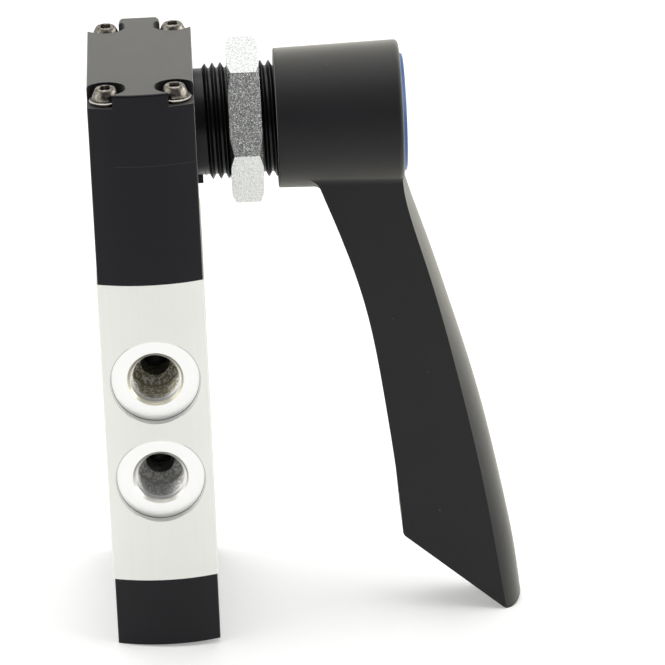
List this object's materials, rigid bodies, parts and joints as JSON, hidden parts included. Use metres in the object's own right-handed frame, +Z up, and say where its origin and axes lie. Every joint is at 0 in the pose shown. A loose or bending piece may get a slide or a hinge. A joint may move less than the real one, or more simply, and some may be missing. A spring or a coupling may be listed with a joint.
{
  "type": "hand lever air valve",
  "caption": "Hand-lever pneumatic spool valve with an aluminium ported body, a black head with a threaded panel neck and hex nut, and a long curved black lever.",
  "frame": {"origin": "lever axis at the head's panel face", "axes": "+X out of the panel face along the lever axis, +Z up from the end cap to the head, +Y from the two front ports to the rear ports"},
  "size_m": [0.0787, 0.0457, 0.1154],
  "materials": {
    "aluminium_body": "fine extruded, clear anodised",
    "head_plastic": "fine matte moulding, glass-filled polyamide",
    "cap_plastic": "fine matte moulding, glass-filled polyamide",
    "lever_plastic": "fine spark-eroded matte moulding",
    "bushing_black": "black, slightly glossy",
    "zinc_nut": "bright zinc plating",
    "screw_steel": "nickel-plated steel",
    "blue_plastic": "satin blue moulding",
    "rubber_seal": "nitrile rubber",
    "shaft_steel": "turned steel",
    "spool_metal": "turned and polished",
    "inner_plastic": "black acetal",
    "spring_steel": "spring wire"
  },
  "bodies": {
    "valve": {"valve_body": "aluminium_body", "head_housing": "head_plastic", "end_cap": "cap_plastic", "head_gasket": "rubber_seal", "cap_gasket": "rubber_seal", "head_screws": "screw_steel", "head_lock_washers": "screw_steel", "cap_screws": "screw_steel", "spool_seals": "rubber_seal", "spool_spacers": "inner_plastic", "spool_end_rings": "inner_plastic", "detent_cage": "inner_plastic", "detent_ring": "spring_steel", "threaded_bushing": "bushing_black", "panel_nut": "zinc_nut", "thrust_washer": "inner_plastic"},
    "lever_unit": {"lever": "lever_plastic", "lever_cap": "blue_plastic", "lever_screw": "screw_steel", "lever_washer": "screw_steel", "drive_shaft": "shaft_steel", "shaft_seal": "rubber_seal", "crank_disc": "shaft_steel", "cross_pin": "spring_steel", "crank_pin": "shaft_steel", "pin_roller": "spool_metal"},
    "spool_unit": {"spool": "spool_metal"}
  },
  "joints": [
    {"name": "lever_turn", "type": "hinge", "parent": "valve", "child": "lever_unit", "pos_m": [0, 0, 0], "axis": [1, 0, 0], "range_deg": [-45, 45]},
    {"name": "spool_slide", "type": "slide", "parent": "valve", "child": "spool_unit", "axis": [0, 0, 1], "range_m": [-0.00283, 0.00283], "deforming": ["detent_ring"]}
  ],
  "couplings": [
    {"joint": "spool_slide", "follows": "lever_turn", "m_per_rad": 0.0036013}
  ]
}
